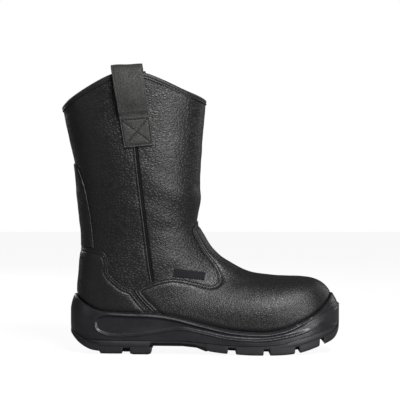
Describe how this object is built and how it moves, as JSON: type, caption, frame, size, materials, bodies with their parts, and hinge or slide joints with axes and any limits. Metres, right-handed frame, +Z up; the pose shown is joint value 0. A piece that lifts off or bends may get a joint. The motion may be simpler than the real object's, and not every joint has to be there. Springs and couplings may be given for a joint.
{
  "type": "steel toe work boot",
  "caption": "Black leather pull-on safety boot with a steel toe cap, side pull loops, a lugged sole with toe bumper, and a footbed that lifts out.",
  "frame": {"origin": "centre of the bounding box's base, on the surface that the boot stands on", "axes": "+X towards the toe, +Z up the shaft, -Y towards the boot's outer (lateral) side"},
  "size_m": [0.3161, 0.1192, 0.3241],
  "materials": {
    "grained_leather": "pebbled grain, semi-matt",
    "smooth_leather": "fine grain, satin",
    "strap_leather": "matt",
    "binding": "satin",
    "polyurethane": "satin, moulded polyurethane",
    "tread_rubber": "matt",
    "lining_textile": "matt textile",
    "foam": "matt foam",
    "board": "matt fibre board",
    "steel": "satin",
    "label_textile": "plain weave, blank"
  },
  "bodies": {
    "boot": {"outsole": "tread_rubber", "midsole": "polyurethane", "bottom_filler": "foam", "steel_shank": "steel", "steel_midsole_plate": "steel", "insole_board": "board", "steel_toe_cap": "steel", "toe_cap_edge_cushion": "foam", "vamp": "smooth_leather", "front_shaft_panel": "grained_leather", "outer_rear_shaft_panel": "grained_leather", "inner_rear_shaft_panel": "grained_leather", "back_stay": "smooth_leather", "heel_cover": "smooth_leather", "heel_stiffener": "board", "vamp_interlining": "foam", "vamp_lining": "lining_textile", "heel_lining": "lining_textile", "shaft_lining": "lining_textile", "collar_binding": "binding", "outer_side_piping": "binding", "inner_side_piping": "binding", "outer_pull_loop": "strap_leather", "inner_pull_loop": "strap_leather", "side_label": "label_textile"},
    "footbed": {"footbed": "foam"}
  },
  "joints": [
    {"name": "footbed_lift", "type": "hinge", "parent": "boot", "child": "footbed", "pos_m": [0.142, 0.004, 0.038], "axis": [0, 1, 0], "range_deg": [0, 6]}
  ]
}
